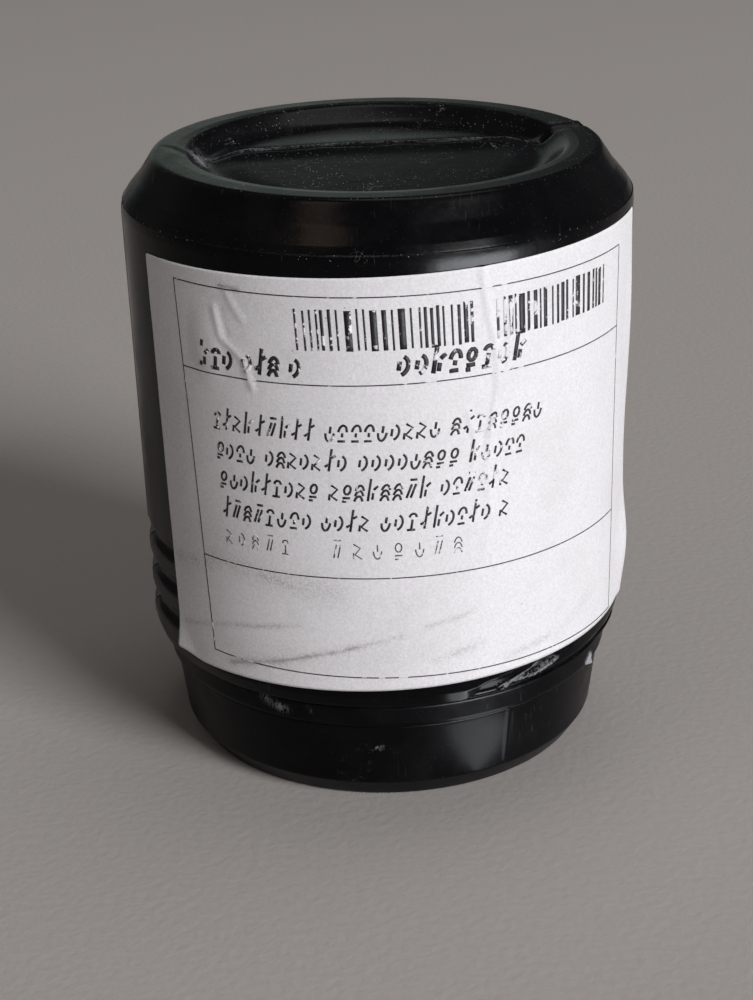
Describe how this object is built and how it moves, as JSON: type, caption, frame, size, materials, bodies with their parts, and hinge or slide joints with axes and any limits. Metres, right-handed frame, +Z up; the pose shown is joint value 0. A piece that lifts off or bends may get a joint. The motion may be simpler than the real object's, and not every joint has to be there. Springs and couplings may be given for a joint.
{
  "type": "adjustable eyepiece in a screw canister",
  "caption": "Focusing eyepiece with a plug tube, knurled dioptre ring and rubber eyecup, padded inside a black two-part screw canister with a paper label.",
  "frame": {"origin": "centre of the canister's foot, on the surface it stands on", "axes": "+Z up along the canister's and the eyepiece's axis; -Y towards the front, where the label is; +X to the right"},
  "size_m": [0.06, 0.0603, 0.073],
  "materials": {
    "black_plastic": "blow-moulded polyethylene, glossy with fine scratches",
    "paper": "matt self-adhesive label paper, creased",
    "foam": "dark open-cell foam",
    "satin_chrome": "satin chrome plate on brass",
    "black_anodised": "black anodised, satin",
    "blacked_brass": "chemically blacked, matt",
    "nylon": "natural nylon",
    "rubber": "soft black rubber, matt",
    "glass": "polished, coated",
    "steel": "turned"
  },
  "bodies": {
    "base": {"canister_base": "black_plastic", "lower_pad": "foam", "plug_tube": "satin_chrome", "field_stop": "blacked_brass", "field_stop_lock_ring": "blacked_brass", "eyepiece_body": "black_anodised", "friction_washer": "nylon", "sleeve_retaining_ring": "blacked_brass"},
    "cover_pad": {"upper_pad": "foam"},
    "cover": {"canister_cover": "black_plastic", "label": "paper"},
    "turning_ring": {"dioptre_ring": "black_anodised", "drive_sleeve": "blacked_brass", "set_screw_1": "steel", "set_screw_2": "steel", "set_screw_3": "steel", "eyecup_carrier": "black_anodised", "eyecup": "rubber"},
    "cell": {"lens_cell": "blacked_brass", "guide_pin_1": "steel", "guide_pin_2": "steel", "field_lens_retaining_ring": "blacked_brass", "field_lens_flint": "glass", "field_lens_crown": "glass", "lower_spacer": "blacked_brass", "middle_lens": "glass", "upper_spacer": "blacked_brass", "eye_lens_crown": "glass", "eye_lens_flint": "glass", "eye_lens_retaining_ring": "blacked_brass"}
  },
  "joints": [
    {"name": "cover_rise", "type": "slide", "parent": "base", "child": "cover_pad", "axis": [0, 0, 1], "range_m": [0, 0.0661]},
    {"name": "cover_turn", "type": "hinge", "parent": "cover_pad", "child": "cover", "pos_m": [0, 0, 0.04], "axis": [0, 0, 1], "range_deg": [0, 1800]},
    {"name": "dioptre_turn", "type": "hinge", "parent": "base", "child": "turning_ring", "pos_m": [0, 0, 0.041], "axis": [0, 0, 1], "range_deg": [-90, 90]},
    {"name": "lens_cell_slide", "type": "slide", "parent": "base", "child": "cell", "axis": [0, 0, 1], "range_m": [-0.00313, 0.00313]}
  ],
  "couplings": [
    {"joint": "cover_rise", "follows": "cover_turn", "m_per_rad": 0.0021008},
    {"joint": "lens_cell_slide", "follows": "dioptre_turn", "m_per_rad": 0.0019894}
  ]
}
